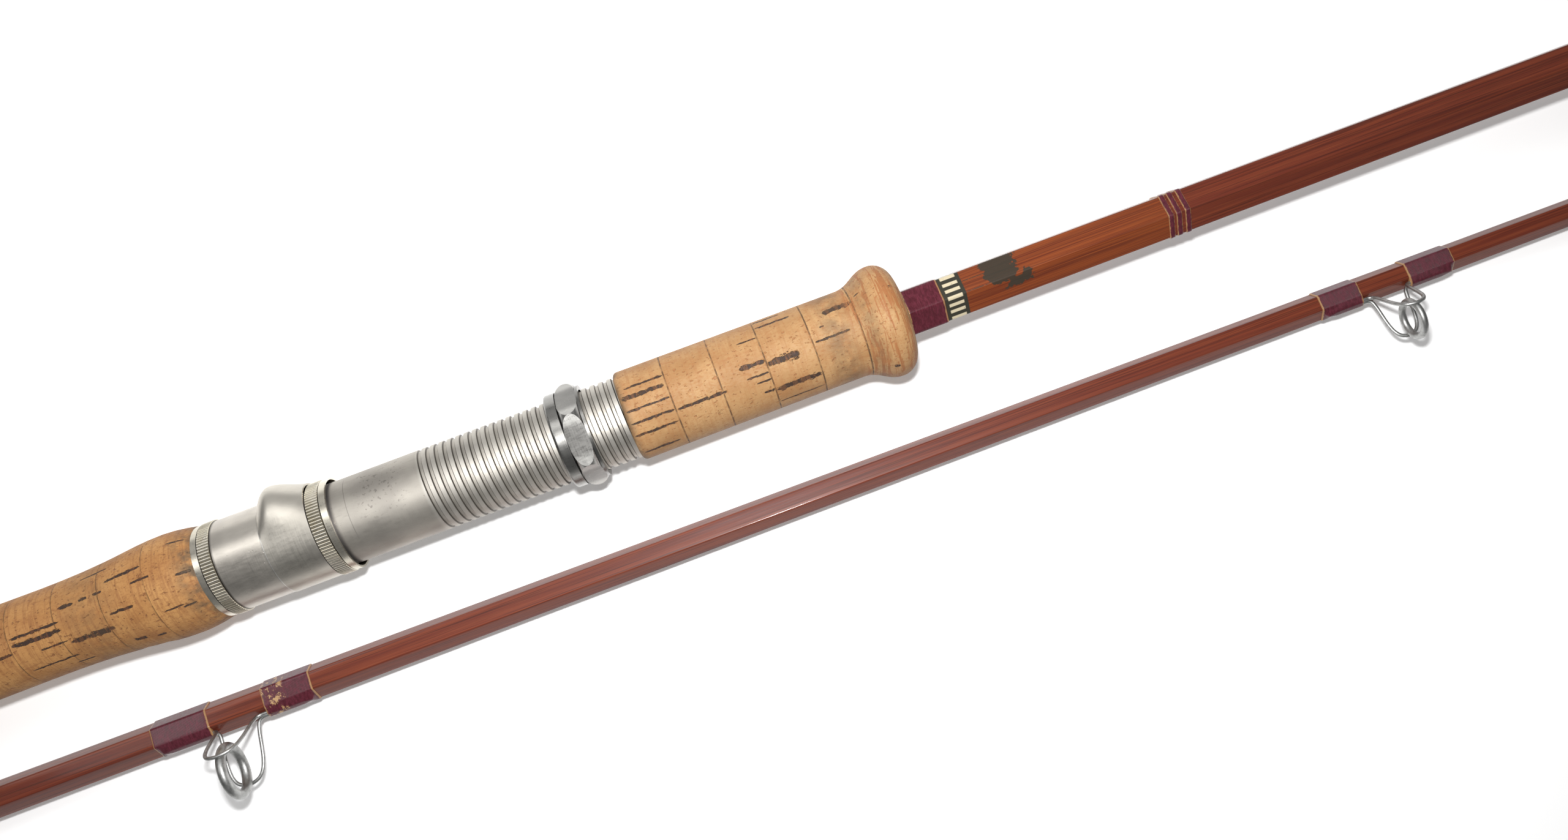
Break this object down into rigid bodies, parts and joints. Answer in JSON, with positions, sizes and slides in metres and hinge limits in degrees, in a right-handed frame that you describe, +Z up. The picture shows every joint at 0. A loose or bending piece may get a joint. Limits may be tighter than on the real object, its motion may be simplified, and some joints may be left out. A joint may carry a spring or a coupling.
{
  "type": "two-piece split-cane spinning rod",
  "caption": "Hexagonal split-cane spinning rod, taken down and lying side by side, with cork grips, a threaded aluminium reel seat with hood and hex lock nut, and wire guides.",
  "frame": {"origin": "middle of the footprint of both sections, on the surface that they lie on", "axes": "+X along both sections from the butt towards the tip, +Y towards the butt section, +Z up"},
  "size_m": [1.51, 0.0926, 0.0306],
  "materials": {
    "rubber": "matte",
    "seat_aluminium": "satin",
    "nut_aluminium": "satin",
    "rear_cork": "matte",
    "fore_cork": "matte",
    "arbor_wood": "matte",
    "cane": "gloss",
    "silk": "satin",
    "guide_steel": "satin",
    "nickel_silver": "satin"
  },
  "bodies": {
    "butt_section": {"band_whippings": "silk", "butt_cane": "cane", "butt_cap": "seat_aluminium", "butt_ferrule_whipping": "silk", "butt_guide_frame": "guide_steel", "butt_guide_ring": "guide_steel", "butt_guide_whippings": "silk", "female_ferrule": "nickel_silver", "ferrule_welt": "nickel_silver", "fore_cork_flare": "fore_cork", "fore_cork_ring_1": "fore_cork", "fore_cork_ring_2": "fore_cork", "fore_cork_ring_3": "fore_cork", "fore_cork_ring_4": "fore_cork", "fore_cork_ring_5": "fore_cork", "handle_whipping": "silk", "hood_mouth_ring": "seat_aluminium", "moisture_plug": "arbor_wood", "rear_collar": "seat_aluminium", "rear_grip_cork_rings": "rear_cork", "reel_hood": "seat_aluminium", "rubber_button": "rubber", "seat_arbor": "arbor_wood", "seat_barrel": "seat_aluminium", "seat_sleeve": "seat_aluminium"},
    "lock_collar": {"lock_collar": "nut_aluminium"},
    "lock_nut": {"lock_nut": "nut_aluminium"},
    "top_section": {"guide_1_frame": "guide_steel", "guide_1_ring": "guide_steel", "guide_1_whippings": "silk", "guide_2_frame": "guide_steel", "guide_2_ring": "guide_steel", "guide_2_whippings": "silk", "guide_3_frame": "guide_steel", "guide_3_ring": "guide_steel", "guide_3_whippings": "silk", "guide_4_frame": "guide_steel", "guide_4_ring": "guide_steel", "guide_4_whippings": "silk", "guide_5_frame": "guide_steel", "guide_5_ring": "guide_steel", "guide_5_whippings": "silk", "male_ferrule": "nickel_silver", "tip_ring": "guide_steel", "tip_stays": "guide_steel", "tip_tube": "guide_steel", "tip_whipping": "silk", "top_cane": "cane", "top_ferrule_whipping": "silk"}
  },
  "joints": [
    {"name": "lock_collar_slide", "type": "slide", "parent": "butt_section", "child": "lock_collar", "axis": [1, 0, 0], "range_m": [-0.03785, 0.00899]},
    {"name": "lock_nut_turn", "type": "hinge", "parent": "lock_collar", "child": "lock_nut", "pos_m": [-0.2605, 0.01161, 0.01495], "axis": [1, 0, 0], "range_deg": [-5900, 1400]},
    {"name": "top_section_lift", "type": "slide", "parent": "butt_section", "child": "top_section", "axis": [0, 0, 1], "range_m": [0, 0.3]}
  ],
  "couplings": [
    {"joint": "lock_collar_slide", "follows": "lock_nut_turn", "m_per_rad": 0.0003675}
  ]
}
